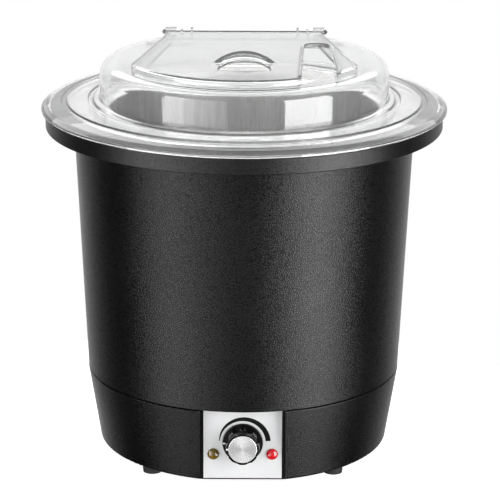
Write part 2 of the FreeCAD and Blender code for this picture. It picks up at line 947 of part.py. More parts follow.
def thermostat():
    """The thermostat's case and threaded bush behind the panel, bored for its shaft."""
    back = -d.recess_face + d.plastic_wall
    case = cylinder(
        "thermostat_case", d.thermostat_radius, d.thermostat_depth, 0, back + 0.2, d.dial_height, "Y"
    )
    foot = box("thermostat_frame", (-21, 21), (back, back + 1.5), (d.dial_height - 13, d.dial_height + 13))
    start = -panel_front() - 1.0
    bush = cylinder("thermostat_bush", d.bush_radius, back - start + 0.2, 0, start, d.dial_height, "Y")
    bore_radius = d.shaft_radius + d.shaft_clearance
    bore = cylinder("thermostat_bore", bore_radius, back - start + 8, 0, start - 1, d.dial_height, "Y")
    return named(cut("thermostat", fuse("thermostat_blank", case, foot, bush), bore), "thermostat")


def thermostat_shaft():
    """The shaft that the knob turns, with a flat for the knob's grub screw."""
    back = -d.recess_face + d.plastic_wall + 6
    front = -panel_front() - 11
    rod = cylinder("shaft_rod", d.shaft_radius, back - front, 0, front, d.dial_height, "Y")
    flat = box("shaft_flat", (-4, 4), (front - 1, front + 9), (d.dial_height + 1.8, d.dial_height + 5))
    return named(cut("thermostat_shaft", rod, flat), "thermostat_shaft")


def sensor_bulb():
    """The thermostat's sensing bulb, strapped to the outside of the well."""
    x, y = bulb_spot()
    bulb = cylinder("sensor_bulb", d.bulb_radius, d.bulb_length, x, y, d.bulb_low_height)
    return named(bulb, "sensor_bulb")


def sensor_capillary():
    """The thin tube from the thermostat's case to its bulb."""
    x, y = bulb_spot()
    start_y = -d.recess_face + d.plastic_wall + d.thermostat_depth + 0.2
    route = [
        (10, start_y, d.dial_height + 6),
        (10, start_y + 12, d.dial_height + 6),
        (x - 10, y + 8, d.dial_height + 8),
        (x, y, d.well_floor_height - 8),
        (x, y, d.bulb_low_height),
    ]
    return tube("sensor_capillary", route, 0.8, 6)


def bulb_straps():
    """Two spring straps round the sensing bulb."""
    x, y = bulb_spot()
    width = 5
    straps = []
    for number, height in enumerate((12, 40)):
        low = d.bulb_low_height + height
        ring = cylinder(f"strap_ring_{number}", d.strap_radius, width, x, y, low)
        hole = cylinder(f"strap_hole_{number}", d.bulb_radius, width, x, y, low)
        straps.append(cut(f"strap_{number}", ring, hole))
    return group("bulb_straps", straps)


def knob_body():
    """The moulded knob: a round skirt under a grip with eight scallops."""
    depth = d.knob_depth
    grip_low = d.skirt_thickness
    body = revolve(
        new_body("knob"),
        [
            (0, 0),
            (d.skirt_radius, 0),
            (d.skirt_radius - 0.5, grip_low),
            (d.grip_radius, grip_low),
            (d.grip_front_radius, depth),
            (d.cap_radius, depth),
            (d.cap_radius, depth - 0.6),
            (0, depth - 0.6),
        ],
    )
    sketch = sketch_on(body, "XY_Plane", "scallop_outline", depth + 1)
    circles(sketch, d.scallop_radius, [polar(d.scallop_circle, 22.5)])
    scallop = body.newObject("PartDesign::Pocket", "scallop")
    scallop.Profile = sketch
    bind(scallop, "Length", depth + 1 - grip_low)
    doc.recompute()
    ring = body.newObject("PartDesign::PolarPattern", "scallops")
    ring.Originals = [scallop]
    ring.Axis = (sketch, ["N_Axis"])
    ring.Angle = 360
    ring.Occurrences = 8
    body.Tip = ring
    doc.recompute()
    round_edges(body, 0.7, ring_at(d.grip_front_radius, depth))
    return place(body, 0, -panel_front() - d.knob_gap, d.dial_height, "-Y")


def knob():
    """The knob with its bore for the shaft, the bush's clearance and the grub screw's hole."""
    body = knob_body()
    face = -panel_front() - d.knob_gap
    bore = cylinder("knob_bore", d.shaft_radius, 12, 0, face - 12, d.dial_height, "Y")
    relief = cylinder("knob_relief", d.bush_radius + 0.6, 2, 0, face - 1.4, d.dial_height, "Y")
    grub = cylinder("grub_hole", 1.5, 20, 0, face - 7, d.dial_height + 2)
    finished = cut("knob_finished", body, bore, relief, grub)
    mark_slots = [mark_box("mark_slot_grip", True), mark_box("mark_slot_skirt", False)]
    return named(cut("knob_moulding", finished, *mark_slots), "knob_moulding")


def mark_box(name, on_grip):
    """The place of a white mark at nine o'clock, on the grip's front or on the skirt."""
    face = -panel_front() - d.knob_gap
    depth = d.knob_depth if on_grip else d.skirt_thickness
    inner = d.cap_radius + 0.3 if on_grip else d.grip_radius + 0.1
    outer = d.grip_front_radius - 0.2 if on_grip else d.skirt_radius - 0.7
    middle = d.dial_height
    return box(name, (-outer, -inner), (face - depth, face - depth + 0.5), (middle - 0.6, middle + 0.6))


def knob_marks():
    """The two white inlays that point at the scale."""
    return group("knob_marks", [mark_box("mark_grip", True), mark_box("mark_skirt", False)])


def knob_cap():
    """The spun aluminium disc on the knob's front."""
    low = d.knob_depth - 0.6
    top = low + d.cap_thickness
    body = turned_body(
        "knob_cap",
        [(0, low), (d.cap_radius, low), (d.cap_radius, top), (0, top)],
        [(d.cap_radius, top, 0.35)],
    )
    return place(body, 0, -panel_front() - d.knob_gap, d.dial_height, "-Y")


def knob_screw():
    """The grub screw that holds the knob on the shaft's flat."""
    face = -panel_front() - d.knob_gap
    low = d.dial_height + 1.8
    return named(cylinder("knob_screw", 1.5, 7, 0, face - 7, low), "knob_screw")


def lamp(label, side):
    """A pilot lamp: a domed lens with a rim, on a stem through the panel."""
    rim = 1.0
    dome = 2.4
    radius = d.lamp_radius
    stem = d.panel_thickness + d.plastic_wall
    bulge = (radius * radius + dome * dome) / (2 * dome)
    body = revolve(
        new_body(label),
        [
            (0, -stem),
            (d.lamp_stem_radius, -stem),
            (d.lamp_stem_radius, 0),
            (radius, 0),
            (radius, rim),
            (0, rim + dome, bulge, -1),
        ],
    )
    place(body, d.lamp_place * side, -panel_front(), d.lamp_height, "-Y")
    return named(body, label)


def lamp_holders():
    """The dark sockets that clip the pilot lamps behind the panel."""
    back = -d.recess_face + d.plastic_wall
    holders = []
    for number, side in enumerate((-1, 1)):
        x = d.lamp_place * side
        end = back + d.holder_length
        radius = d.holder_radius
        case = cylinder(f"holder_case_{number}", radius, d.holder_length, x, back, d.lamp_height, "Y")
        pins = []
        for pin_number, pin_x in enumerate((x - 2, x + 2)):
            name = f"holder_pin_{number}_{pin_number}"
            height = (d.lamp_height - 1.4, d.lamp_height + 1.4)
            pins.append(box(name, (pin_x - 0.3, pin_x + 0.3), (end, end + 6), height))
        holders.append(fuse(f"holder_{number}", case, *pins))
    return group("lamp_holders", holders)


def lamp_clips():
    """The push-on retaining rings of the lamps."""
    back = -d.recess_face + d.plastic_wall
    clips = []
    for number, side in enumerate((-1, 1)):
        x = d.lamp_place * side
        thick = d.clip_thickness
        outer = d.holder_radius + d.clip_width
        ring = cylinder(f"clip_ring_{number}", outer, thick, x, back + 0.1, d.lamp_height, "Y")
        hole = cylinder(f"clip_hole_{number}", d.holder_radius, thick + 1, x, back, d.lamp_height, "Y")
        frame = box(f"clip_gap_{number}", (-21.2, 21.2), (back - 1, back + 5), (20, 60))
        clips.append(cut(f"clip_{number}", ring, hole, frame))
    return group("lamp_clips", clips)


def lead(label, points):
    """One insulated wire inside the base."""
    return tube(label, points, 1.3, 4)


def leads():
    """The wires between the terminal block, the thermostat and the heater's terminals."""
    block = d.foot_height + d.plastic_wall + d.plate_thickness + 6
    left_x, left_y = polar(d.heater_ring_radius, 105)
    right_x, right_y = polar(d.heater_ring_radius, 75)
    tab = d.shield_height - 18
    back = -d.recess_face + d.plastic_wall + 16.2
    to_thermostat = [
        (-13, 78, block),
        (-13, 62, block),
        (-48, 30, block + 2),
        (-48, -50, block + 4),
        (-8, back + 16, d.dial_height - 8),
        (-8, back, d.dial_height - 8),
    ]
    from_thermostat = [
        (0, back, d.dial_height - 10),
        (0, back + 18, d.dial_height - 10),
        (-34, -40, block + 6),
        (-34, 34, block + 6),
        (left_x, left_y - 14, tab - 11),
        (left_x, left_y, tab - 11),
        (left_x, left_y, tab),
    ]
    neutral = [
        (13, 78, block),
        (13, 60, block),
        (right_x, 58, tab - 11),
        (right_x, right_y + 1, tab - 11),
        (right_x, right_y, tab),
    ]
    return [
        lead("live_lead", to_thermostat),
        lead("heater_lead", from_thermostat),
        lead("neutral_lead", neutral),
    ]


# ---------------------------------------------------------------- pot


def insert_pot():
    """The lift-out steel pot, with a wide flat rim and a rolled edge."""
    sheet = d.steel_sheet
    floor = d.pot_floor_height
    rim = d.pot_rim_height
    bead = d.pot_bead
    edge = d.pot_rim_radius
    return turned_body(
        "insert_pot",
        [
            (0, floor),
            (d.pot_radius, floor),
            (d.pot_radius, rim),
            (edge - bead, rim),
            (edge, rim + bead, bead, -1),
            (edge - bead, rim + bead * 2, bead, -1),
            (edge - bead * 1.6, rim + bead * 1.6, bead, -1),
            (edge - bead * 2, rim + sheet),
            (d.pot_radius - sheet, rim + sheet),
            (d.pot_radius - sheet, floor + sheet),
            (0, floor + sheet),
        ],
        [
            (d.pot_radius, floor, d.pot_corner),
            (d.pot_radius - sheet, floor + sheet, d.pot_corner - sheet),
            (d.pot_radius - sheet, rim + sheet, d.pot_mouth_round),
            (d.pot_radius, rim, d.pot_mouth_round - sheet),
        ],
    )


# ---------------------------------------------------------------- lid


def lid_profile(inset):
    """The lid's outer line, or the line one sheet inside it, from the rim up to the axis."""
    band = d.lid_band_height - inset
    crown = d.lid_crown_height - inset
    wall = d.lid_wall_radius - inset
    groove = d.lid_groove_radius
    step = d.lid_step_radius
    slope_end = d.lid_slope_radius - inset * 0.3
    return [
        (slope_end, band + 0.6),
        (step, band + 0.6),
        (step, band),
        (groove + 2.2, band + 0.3),
        (groove, band - 0.7),
        (groove - 2.2, band + 0.5),
        (wall, band + 1.6),
        (wall, crown),
        (0, crown),
    ]


def lid_solid(name, inset):
    """The lid's outside as a full solid, or the hollow inside it."""
    rest = d.lid_rest_height
    edge = d.lid_radius if not inset else d.lid_radius - d.lid_sheet * 1.9
    lip = rest + 1.3 if not inset else rest
    low = rest if not inset else rest - 4
    corner = [(0, low), (edge, low)]
    if inset:
        corner = [(0, low), (edge, low), (edge, rest)]
    points = corner + ([] if inset else [(edge, lip)])
    profile = lid_profile(as_size(inset))
    first = profile[0]
    points.append((first[0], first[1], d.lid_slope_bend, -1))
    points += profile[1:]
    shoulder = d.lid_shoulder - as_size(inset)
    foot = 2.4 if not inset else 5.0
    rounds = [
        (d.lid_wall_radius - as_size(inset), d.lid_crown_height - as_size(inset), shoulder),
        (d.lid_wall_radius - as_size(inset), d.lid_band_height - as_size(inset) + 1.6, foot),
    ]
    return turned_body(name, points, rounds)


def shield_points(front, corner, rear_width, rear):
    """A shield in plan: a round front, sides that converge and a straight back."""
    corner_y = -root(front * front - corner * corner)
    return [
        (rear_width, rear),
        (-rear_width, rear),
        (-corner, corner_y),
        (corner, corner_y, front, -1),
    ]


def lid_mouth():
    """The opening in the crown that the flap covers."""
    body = new_body("lid_mouth")
    points = shield_points(d.mouth_front_radius, d.mouth_corner_width, d.mouth_rear_width, d.mouth_rear)
    pad(body, points, d.lid_crown_height - 12, 24)
    front = d.mouth_front_radius
    corner = d.mouth_corner_width
    corner_y = -root(front * front - corner * corner)
    round_edges(body, d.mouth_corner_round, upright_at(d.mouth_corner_width, corner_y))
    round_edges(body, d.mouth_rear_round, upright_at(d.mouth_rear_width, d.mouth_rear))
    return body


def hinge_posts(bottom):
    """The two clear posts on the lid's rear ledge that hold the hinge pin."""
    posts = []
    for number, side in enumerate((-1, 1)):
        middle = d.post_middle * side
        low = middle - d.post_width / 2
        high = middle + d.post_width / 2
        stem = box(
            f"post_stem_{number}",
            (low, high),
            (d.pin_place - d.post_radius, d.pin_place + d.post_radius),
            (bottom, d.pin_height),
        )
        eye = cylinder(f"post_eye_{number}", d.post_radius, d.post_width, low, d.pin_place, d.pin_height, "X")
        posts += [stem, eye]
    return posts


def lid_dome():
    """The clear lid: flange, wall and crown of one sheet, with a rear ledge for the hinge."""
    sheet = d.lid_sheet
    outside = lid_solid("lid_outside", 0)
    inside = lid_solid("lid_inside", sheet)
    wide = 130
    ledge = d.lid_crown_height - d.ledge_drop
    above = box("ledge_space", (-wide, wide), (d.ledge_start, 140), (ledge, ledge + 30))
    under = box("ledge_inside", (-wide, wide), (d.ledge_start - sheet, 140), (ledge - sheet, ledge + 30))
    shell = cut("lid_shell", cut("lid_outer", outside, above), cut("lid_inner", inside, under), lid_mouth())
    posts = hinge_posts(ledge - 1)
    bore = cylinder("post_bore", d.pin_radius, 160, -80, d.pin_place, d.pin_height, "X")
    return named(cut("lid_dome", fuse("lid_with_posts", shell, *posts), bore), "lid_dome")


def flap_block(name, inset, rounding):
    """The flap's outside as a full block, or the hollow under its sheet."""
    body = new_body(name)
    low = d.flap_low_height - inset
    front = d.flap_front_radius - inset
    corner = d.flap_corner_width - inset * 1.2
    rear_width = d.flap_rear_width - inset
    rear = d.flap_rear - inset
    pad(body, shield_points(front, corner, rear_width, rear), low, d.flap_top_height - d.flap_low_height)
    corner_y = -root(front * front - corner * corner)
    round_edges(body, d.flap_corner_round - as_size(inset), upright_at(corner, corner_y))
    round_edges(body, d.flap_rear_round - as_size(inset), upright_at(rear_width, rear))
    top = (d.flap_top_height - inset).value
    return round_edges(body, rounding, lambda edge: all(abs(v.Z - top) < NEAR for v in edge.Vertexes))


def plan_cutter(name, draw):
    """A tall block with the outline that draw(sketch) makes, through the height of the flap."""
    body = new_body(name)
    sketch = sketch_on(body, "XY_Plane", name + "_outline", d.flap_low_height - 5)
    draw(sketch)
    raised = body.newObject("PartDesign::Pad", name + "_block")
    raised.Profile = sketch
    bind(raised, "Length", 20)
    doc.recompute()
    return body


def flap_tray():
    """The flap's raised sheet with a short skirt all round, open underneath."""
    outside = flap_block("flap_outside", 0, d.flap_edge_round)
    inside = flap_block("flap_inside", d.flap_sheet, d.flap_edge_round / 2)
    notch = plan_cutter("ladle_notch", draw_notch)
    grip_hole = plan_cutter("grip_hole", draw_grip_hole)
    return cut("flap_tray", outside, inside, notch, grip_hole)


def draw_notch(sketch):
    """The ladle notch: straight back from the front edge, with round far corners."""
    front = -d.flap_front_radius - 10
    left = d.notch_left + d.notch_taper
    right = d.notch_right - d.notch_taper
    far = d.notch_far
    bend = d.notch_corner
    outline(
        sketch,
        [
            (d.notch_left, front),
            (d.notch_right, front),
            (right, far - bend),
            (right - bend, far, bend, -1),
            (left + bend, far),
            (left, far - bend, bend, -1),
        ],
    )


def draw_grip_hole(sketch):
    """The half-moon hole under the finger hood."""
    wide = d.grip_hole_width
    deep = d.grip_hole_depth
    front = -d.grip_hole_front
    brow = wide * 0.72
    crest = deep * 0.3
    crest_bend = (brow * brow + crest * crest) / (2 * crest)
    outline(
        sketch,
        [
            (-wide, front, 50, -1),
            (wide, front, 120, -1),
            (brow, front + deep - crest, 50, -1),
            (-brow, front + deep - crest, crest_bend, -1),
        ],
    )


def finger_hood():
    """The hood over the grip hole: part of a tilted tube, with a round bead at its mouth."""
    rise = d.hood_rise
    half = d.hood_half_width
    radius = (half * half + rise * rise) / (2 * rise)
    tilt = Rotation(AROUND_X, -90 - d.hood_tilt.value)
    centre_z = d.flap_top_height + rise - radius
    pieces = []
    for name, size in (("hood_outer", radius), ("hood_inner", radius - d.flap_sheet)):
        tube_piece = doc.addObject("Part::Cylinder", name)
        bind(tube_piece, "Radius", size)
        tube_piece.Height = 90
        tube_piece.Placement = Placement(Vector(), tilt)
        pieces.append(tube_piece)
    bead = doc.addObject("Part::Torus", "hood_bead")
    bind(bead, "Radius1", radius - d.flap_sheet / 2)
    bind(bead, "Radius2", d.hood_bead)
    bead.Placement = Placement(Vector(), tilt)
    for piece in (*pieces, bead):
        bind(piece, "Placement.Base.y", -d.hood_face)
        bind(piece, "Placement.Base.z", centre_z)
    outer, inner = pieces
    shell = cut("hood_shell", outer, inner)
    low = d.flap_top_height - d.flap_sheet * 0.6
    window = box("hood_window", (-40, 40), (-d.hood_face - 10, 20), (low, low + 30))
    return common("finger_hood", fuse("hood_blank", shell, bead), window)


def hinge_lugs():
    """The flap's thin upright lugs round the hinge pin, and the arms that carry them."""
    lugs = []
    for side in (-1, 1):
        for kind, shift in (("tall", 0), ("short", 9)):
            middle = (d.lug_place + shift) * side
            low = middle - d.lug_width / 2
            name = f"{kind}_lug_{'right' if side > 0 else 'left'}"
            eye = cylinder(name + "_eye", d.lug_radius, d.lug_width, low, d.pin_place, d.pin_height, "X")
            arm = box(
                name + "_arm",
                (low, low + d.lug_width),
                (d.flap_rear - 1.2, d.pin_place),
                (d.pin_height - d.lug_radius, d.pin_height + 1.2),
            )
            lugs += [eye, arm]
            if kind == "tall":
                tail = box(
                    name + "_tail",
                    (low, low + d.lug_width),
                    (d.pin_place - 1.1, d.pin_place + 1.1),
                    (d.pin_height, d.pin_height + d.lug_tail),
                )
                lugs.append(tail)
    return lugs


def lid_flap():
    """The hinged flap: tray, finger hood and hinge lugs, bored for the pin."""
    blank = fuse("flap_blank", flap_tray(), finger_hood(), *hinge_lugs())
    bore_radius = d.pin_radius + d.pin_clearance
    bore = cylinder("lug_bore", bore_radius, 130, -65, d.pin_place, d.pin_height, "X")
    return named(cut("lid_flap", blank, bore), "lid_flap")


def hinge_pin():
    """The steel pin that the flap turns on."""
    start = -d.pin_length / 2
    pin = cylinder("hinge_pin", d.pin_radius, d.pin_length, start, d.pin_place, d.pin_height, "X")
    return named(pin, "hinge_pin")


def pin_caps():
    """A push-on cap at each end of the hinge pin."""
    caps = []
    outer = d.post_middle + d.post_width / 2
    for number, side in enumerate((-1, 1)):
        low = outer if side > 0 else -outer - 2
        cap = cylinder(f"pin_cap_blank_{number}", 2.2, 2, low, d.pin_place, d.pin_height, "X")
        bore = cylinder(f"pin_cap_bore_{number}", d.pin_radius, 2, low, d.pin_place, d.pin_height, "X")
        caps.append(cut(f"pin_cap_{number}", cap, bore))
    return group("pin_caps", caps)


# ---------------------------------------------------------------- assembly and export


def build_parts():
    """Every sub-part of the kettle, from the ground up."""
    nut_low = d.foot_height + d.plastic_wall - d.nut_height
    return [
        rubber_feet(),
        foot_screws(),
        base_housing(),
        base_plate(),
        rod_nuts("tie_rod_nuts", nut_low),
        rod_nuts("shield_nuts", d.shield_height - d.nut_height),
        tie_rods(),
        body_shell(),
        top_collar(),
        water_well(),
        insulation_wrap(),
        heater_plate(),
        heating_element(),
        heater_terminals(),
        heat_shield(),
        thermal_cutout(),
        terminal_block(),
        terminal_screws(),
        cord_grommet(),
        control_panel(),
        thermostat(),
        sensor_bulb(),
        sensor_capillary(),
        bulb_straps(),
        lamp("amber_lamp", -1),
        lamp("red_lamp", 1),
        lamp_holders(),
        lamp_clips(),
        *leads(),
        thermostat_shaft(),
        knob(),
        knob_marks(),
        knob_cap(),
        knob_screw(),
        insert_pot(),
        lid_dome(),
        hinge_pin(),
        pin_caps(),
        lid_flap(),
    ]


def check(parts):
    """Stops with a message if any object failed or any sub-part has no valid solid."""
    for thing in doc.Objects:
        if "Invalid" in thing.State or "Error" in thing.State:
            raise RuntimeError(f"{thing.Name} failed: {thing.State}")
    for part in parts:
        if part.Shape.isNull() or not part.Shape.isValid() or not part.Shape.Solids:
            raise RuntimeError(f"{part.Label} has no valid solid")
    labels = [part.Label for part in parts]
    if len(set(labels)) != len(labels):
        raise RuntimeError("two sub-parts share a name")


def main():
    parts = build_parts()
    doc.recompute()
    check(parts)
    os.makedirs("parts", exist_ok=True)
    for part in parts:
        part.Shape.exportStep(f"parts/{part.Label}.step")
        print(f"{part.Label}: {len(part.Shape.Solids)} solid(s), {part.Shape.Volume:.0f} mm3")


main()
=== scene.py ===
import json
import math

import bmesh
import bpy
from mathutils import Matrix, Vector


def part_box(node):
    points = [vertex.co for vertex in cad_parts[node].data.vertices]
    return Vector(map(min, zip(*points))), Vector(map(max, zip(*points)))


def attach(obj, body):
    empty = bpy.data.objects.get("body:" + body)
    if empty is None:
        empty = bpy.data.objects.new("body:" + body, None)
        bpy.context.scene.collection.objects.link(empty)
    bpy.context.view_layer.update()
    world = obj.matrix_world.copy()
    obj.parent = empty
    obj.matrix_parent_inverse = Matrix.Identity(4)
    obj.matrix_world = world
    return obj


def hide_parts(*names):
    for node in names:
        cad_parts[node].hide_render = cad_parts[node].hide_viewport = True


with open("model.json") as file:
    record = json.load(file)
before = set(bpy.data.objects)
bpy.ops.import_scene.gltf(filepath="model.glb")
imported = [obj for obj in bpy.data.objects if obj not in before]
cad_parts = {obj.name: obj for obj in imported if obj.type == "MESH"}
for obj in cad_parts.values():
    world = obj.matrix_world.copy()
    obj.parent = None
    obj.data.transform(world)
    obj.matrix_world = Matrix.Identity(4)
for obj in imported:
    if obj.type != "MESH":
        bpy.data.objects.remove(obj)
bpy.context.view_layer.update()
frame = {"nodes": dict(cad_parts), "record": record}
NODES = frame["nodes"]

# ------------------------------------------------------------------ places read from the frame

KNOB_LOW, KNOB_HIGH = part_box("knob_moulding")
PANEL_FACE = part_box("control_panel")[0].y
DIAL = Vector(((KNOB_LOW.x + KNOB_HIGH.x) / 2, PANEL_FACE, (KNOB_LOW.z + KNOB_HIGH.z) / 2))
KNOB_RADIUS = (KNOB_HIGH.x - KNOB_LOW.x) / 2


# ------------------------------------------------------------------ node-tree helpers


class Tree:
    """A material's node tree with short calls for adding and linking nodes."""

    def __init__(self, name):
        self.material = bpy.data.materials.new(name)
        self.material.use_nodes = True
        self.nodes = self.material.node_tree.nodes
        self.links = self.material.node_tree.links
        self.nodes.clear()
        self.output = self.nodes.new("ShaderNodeOutputMaterial")
        self.place = self.nodes.new("ShaderNodeTexCoord").outputs["Object"]

    def add(self, kind, **settings):
        """A new node with its settings."""
        node = self.nodes.new(kind)
        for name, value in settings.items():
            setattr(node, name, value)
        return node

    def link(self, source, target):
        self.links.new(source, target)

    def shader(self, color, roughness, metallic=0.0, **sockets):
        """The Principled shader, joined to the output."""
        node = self.add("ShaderNodeBsdfPrincipled")
        node.inputs["Base Color"].default_value = (*color, 1.0)
        node.inputs["Roughness"].default_value = roughness
        node.inputs["Metallic"].default_value = metallic
        for name, value in sockets.items():
            node.inputs[name.replace("_", " ")].default_value = value
        self.link(node.outputs[0], self.output.inputs["Surface"])
        return node

    def stretched(self, scale):
        """Object coordinates scaled by a different amount along each axis."""
        node = self.add("ShaderNodeMapping")
        node.inputs["Scale"].default_value = scale
        self.link(self.place, node.inputs["Vector"])
        return node.outputs[0]

    def noise(self, scale, detail=4.0, roughness=0.55, source=None):
        """Soft noise, whose scale counts its features in a metre."""
        node = self.add("ShaderNodeTexNoise")
        node.inputs["Scale"].default_value = scale
        node.inputs["Detail"].default_value = detail
        node.inputs["Roughness"].default_value = roughness
        self.link(source or self.place, node.inputs["Vector"])
        return node.outputs["Fac"]

    def cells(self, scale, feature="F1"):
        """Distances in a pattern of irregular cells."""
        node = self.add("ShaderNodeTexVoronoi", feature=feature)
        node.inputs["Scale"].default_value = scale
        self.link(self.place, node.inputs["Vector"])
        return node.outputs["Distance"]

    def spread(self, source, low, high, in_low=0.3, in_high=0.7):
        """A value moved from one range to another."""
        node = self.add("ShaderNodeMapRange")
        node.inputs["From Min"].default_value = in_low
        node.inputs["From Max"].default_value = in_high
        node.inputs["To Min"].default_value = low
        node.inputs["To Max"].default_value = high
        self.link(source, node.inputs["Value"])
        return node.outputs[0]

    def math(self, operation, first, second):
        """A sum or product of two values or numbers."""
        node = self.add("ShaderNodeMath", operation=operation)
        for index, value in enumerate((first, second)):
            if isinstance(value, (int, float)):
                node.inputs[index].default_value = value
            else:
                self.link(value, node.inputs[index])
        return node.outputs[0]

    def tint(self, source, dark, light):
        """A colour between two, by a value."""
        ramp = self.add("ShaderNodeValToRGB")
        ramp.color_ramp.elements[0].color = (*dark, 1.0)
        ramp.color_ramp.elements[1].color = (*light, 1.0)
        ramp.color_ramp.elements[0].position = 0.3
        ramp.color_ramp.elements[1].position = 0.7
        self.link(source, ramp.inputs[0])
        return ramp.outputs[0]

    def bump(self, height, strength, distance):
        """A normal bent by a height."""
        node = self.add("ShaderNodeBump")
        node.inputs["Strength"].default_value = strength
        node.inputs["Distance"].default_value = distance
        self.link(height, node.inputs["Height"])
        return node.outputs[0]


# ------------------------------------------------------------------ materials

BLACK = (0.0014, 0.0014, 0.0014)
BODY_SHINE = 0.26
COLLAR_SHINE = 0.36
VALLEY = 0.32
VALLEY_SHINE = 0.45
TOP_SHINE = 1.3


def grained_plastic(name, color, roughness, grain, depth, shine=BODY_SHINE):
    """Moulded plastic with a leather grain: rounded cells parted by dull valleys."""
    tree = Tree(name)
    shader = tree.shader(color, roughness, Specular_IOR_Level=shine)
    pebbles = tree.spread(tree.cells(grain, "DISTANCE_TO_EDGE"), 0.0, 1.0, 0.0, VALLEY)
    fine = tree.noise(grain * 2.2, 2.0)
    height = tree.math("ADD", pebbles, tree.math("MULTIPLY", fine, 0.35))
    tree.link(tree.bump(height, 1.0, depth), shader.inputs["Normal"])
    gloss = tree.spread(pebbles, shine * VALLEY_SHINE, shine * TOP_SHINE, 0.0, 0.7)
    tree.link(gloss, shader.inputs["Specular IOR Level"])
    broad = tree.noise(9.0, 3.0)
    tree.link(tree.spread(broad, roughness - 0.03, roughness + 0.04), shader.inputs["Roughness"])
    dark = [c * 0.8 for c in color]
    light = [c * 1.25 for c in color]
    shade = tree.tint(tree.noise(grain * 0.5, 3.0), dark, light)
    tree.link(shade, shader.inputs["Base Color"])
    return tree.material


def plain_plastic(name, color, roughness, grain=900.0, depth=0.00004, shine=0.5):
    """Smooth moulded plastic with a slight orange-peel surface."""
    tree = Tree(name)
    shader = tree.shader(color, roughness, Specular_IOR_Level=shine)
    peel = tree.noise(grain, 2.0)
    tree.link(tree.bump(peel, 0.6, depth), shader.inputs["Normal"])
    marks = tree.noise(60.0, 4.0)
    tree.link(tree.spread(marks, roughness * 0.85, roughness * 1.2), shader.inputs["Roughness"])
    dark = [c * 0.88 for c in color]
    light = [min(c * 1.1, 1.0) for c in color]
    shade = tree.tint(tree.noise(35.0, 2.0), dark, light)
    tree.link(shade, shader.inputs["Base Color"])
    return tree.material


def upright_brushed(name, color, roughness):
    """Steel brushed up and down, as on the pot's drawn wall."""
    tree = Tree(name)
    shader = tree.shader(color, roughness, 1.0)
    lines = tree.noise(1.0, 3.0, 0.6, tree.stretched((2600.0, 2600.0, 14.0)))
    broad = tree.noise(1.0, 2.0, 0.5, tree.stretched((60.0, 60.0, 4.0)))
    both = tree.math("ADD", tree.math("MULTIPLY", lines, 0.7), tree.math("MULTIPLY", broad, 0.3))
    tree.link(tree.spread(both, roughness * 0.85, roughness * 1.15), shader.inputs["Roughness"])
    tree.link(tree.bump(lines, 0.2, 0.00001), shader.inputs["Normal"])
    tree.link(tree.tint(both, [c * 0.93 for c in color], color), shader.inputs["Base Color"])
    return tree.material


def dull_metal(name, color, roughness):
    """Plated or rolled metal with cloudy variation and fine scratches."""
    tree = Tree(name)
    shader = tree.shader(color, roughness, 1.0)
    clouds = tree.noise(55.0, 5.0)
    scratches = tree.noise(1.0, 2.0, 0.5, tree.stretched((2200.0, 90.0, 2200.0)))
    tree.link(tree.spread(clouds, roughness * 0.75, roughness * 1.3), shader.inputs["Roughness"])
    tree.link(tree.tint(clouds, [c * 0.8 for c in color], color), shader.inputs["Base Color"])
    tree.link(tree.bump(scratches, 0.3, 0.00003), shader.inputs["Normal"])
    return tree.material


def spun_metal(name, color, roughness, centre, axis):
    """Turned aluminium: fine rings about an axis, which spread highlights into fans."""
    tree = Tree(name)
    shader = tree.shader(color, roughness, 0.88, Anisotropic=0.85)
    tangent = tree.add("ShaderNodeTangent", direction_type="RADIAL", axis=axis)
    tree.link(tangent.outputs[0], shader.inputs["Tangent"])
    away = tree.add("ShaderNodeVectorMath", operation="DISTANCE")
    tree.link(tree.place, away.inputs[0])
    away.inputs[1].default_value = centre
    rings = tree.add("ShaderNodeTexNoise", noise_dimensions="1D")
    rings.inputs["Scale"].default_value = 5200.0
    rings.inputs["Detail"].default_value = 2.0
    tree.link(away.outputs["Value"], rings.inputs["W"])
    ring = rings.outputs["Fac"]
    tree.link(tree.bump(ring, 0.25, 0.00002), shader.inputs["Normal"])
    tree.link(tree.spread(ring, roughness * 0.8, roughness * 1.25), shader.inputs["Roughness"])
    return tree.material


def clear_plastic(name, color, ior, clearness, roughness=0.05):
    """Polished clear polycarbonate; lamps light what is under it."""
    tree = Tree(name)
    shader = tree.shader(color, roughness, 0.0, IOR=ior, Transmission_Weight=clearness)
    ripple = tree.noise(28.0, 2.0)
    tree.link(tree.bump(ripple, 0.25, 0.0002), shader.inputs["Normal"])
    scuffs = tree.noise(240.0, 5.0)
    worn = tree.spread(scuffs, roughness, roughness + 0.02, 0.5, 0.8)
    tree.link(worn, shader.inputs["Roughness"])
    clear = tree.add("ShaderNodeBsdfTransparent")
    clear.inputs["Color"].default_value = (*[c**0.5 for c in color], 1.0)
    path = tree.add("ShaderNodeLightPath")
    mix = tree.add("ShaderNodeMixShader")
    tree.link(path.outputs["Is Shadow Ray"], mix.inputs[0])
    tree.link(shader.outputs[0], mix.inputs[1])
    tree.link(clear.outputs[0], mix.inputs[2])
    tree.link(mix.outputs[0], tree.output.inputs["Surface"])
    return tree.material


def lens_plastic(name, color, glow):
    """A pilot lamp's coloured lens, moulded in small facets, with a faint glow and with painted shade in
    the hollow of each facet.
    """
    tree = Tree(name)
    shader = tree.shader(color, 0.12, 0.0, Coat_Weight=0.8, Subsurface_Weight=0.15)
    shader.inputs["Subsurface Radius"].default_value = (0.003, 0.001, 0.001)
    facets = tree.cells(900.0)
    tree.link(tree.bump(facets, 0.35, 0.0002), shader.inputs["Normal"])
    # painted shade: the lens colour falls to about half in each facet's hollow and is full on its ridges
    tree.link(tree.tint(facets, [c * 0.55 for c in color], color), shader.inputs["Base Color"])
    shader.inputs["Emission Color"].default_value = (*color, 1.0)
    shader.inputs["Emission Strength"].default_value = glow
    return tree.material


